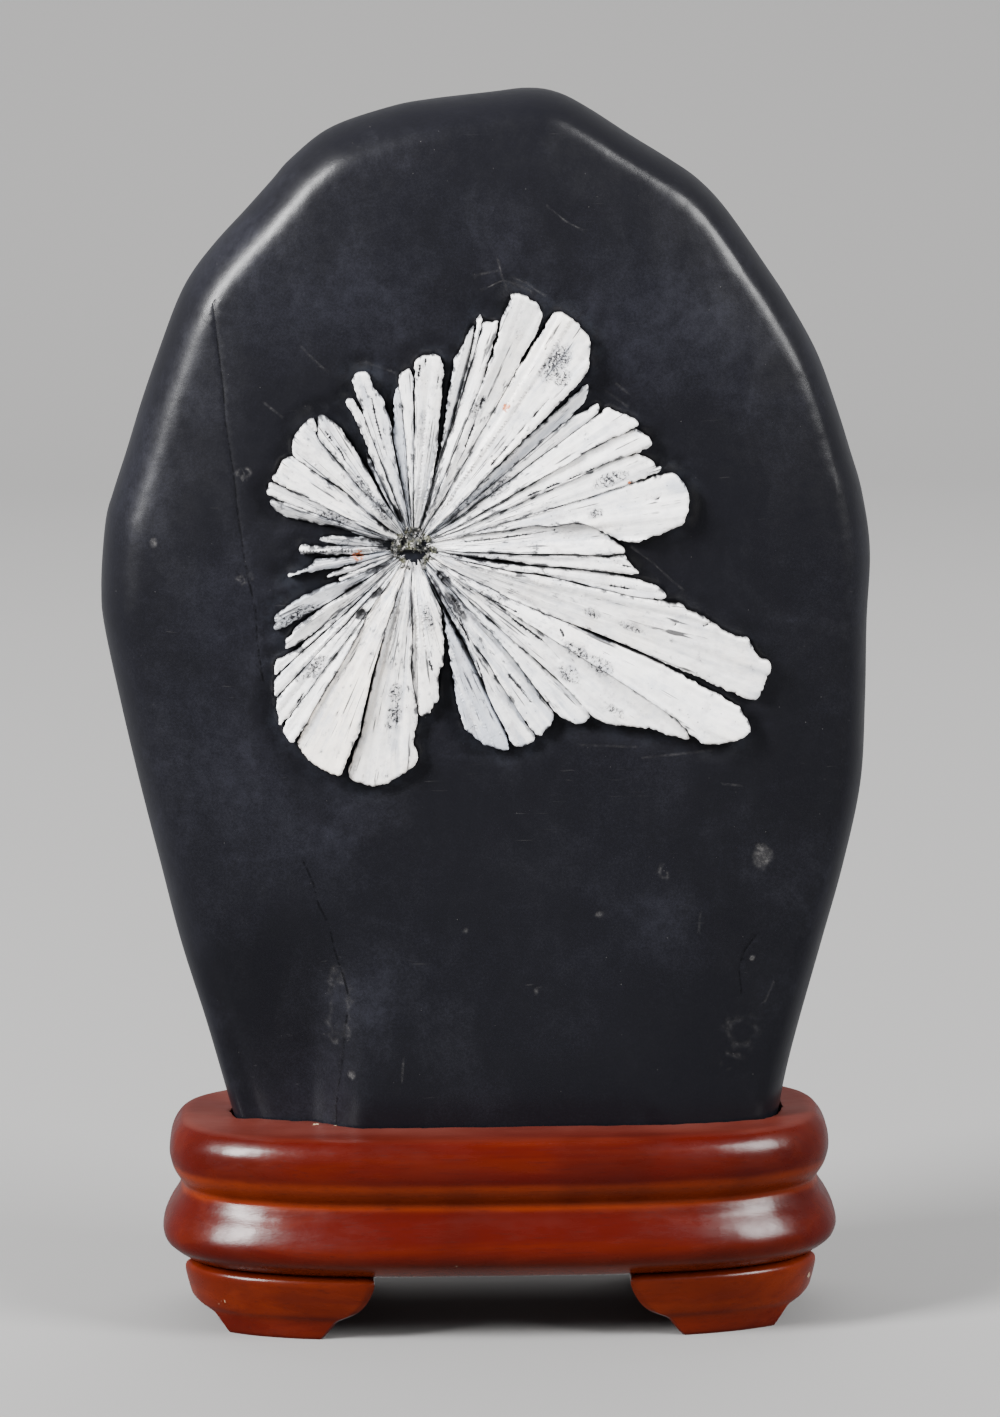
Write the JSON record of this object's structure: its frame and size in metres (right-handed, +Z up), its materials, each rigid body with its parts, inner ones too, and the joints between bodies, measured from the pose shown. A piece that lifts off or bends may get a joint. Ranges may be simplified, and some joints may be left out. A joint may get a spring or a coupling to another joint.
{
  "type": "scholars rock",
  "caption": "Flat black stone with a raised spray of white crystals in its front face, standing in a recess in an oval moulded wooden stand with bracket feet.",
  "frame": {"origin": "on the table, under the middle of the whole object's box", "axes": "+X to the viewer's right across the face with the crystals, +Y away from the viewer, +Z up"},
  "size_m": [0.1825, 0.0836, 0.2936],
  "materials": {
    "black_stone": "ground smooth and waxed, satin",
    "white_crystal": "cleaved, slightly waxy",
    "lacquered_wood": "red-brown gloss lacquer"
  },
  "bodies": {
    "root": {"stone": "black_stone", "crystal_spray": "white_crystal", "stand_body": "lacquered_wood", "foot_front_left": "lacquered_wood", "foot_front_right": "lacquered_wood", "foot_back_left": "lacquered_wood", "foot_back_right": "lacquered_wood"}
  },
  "joints": []
}
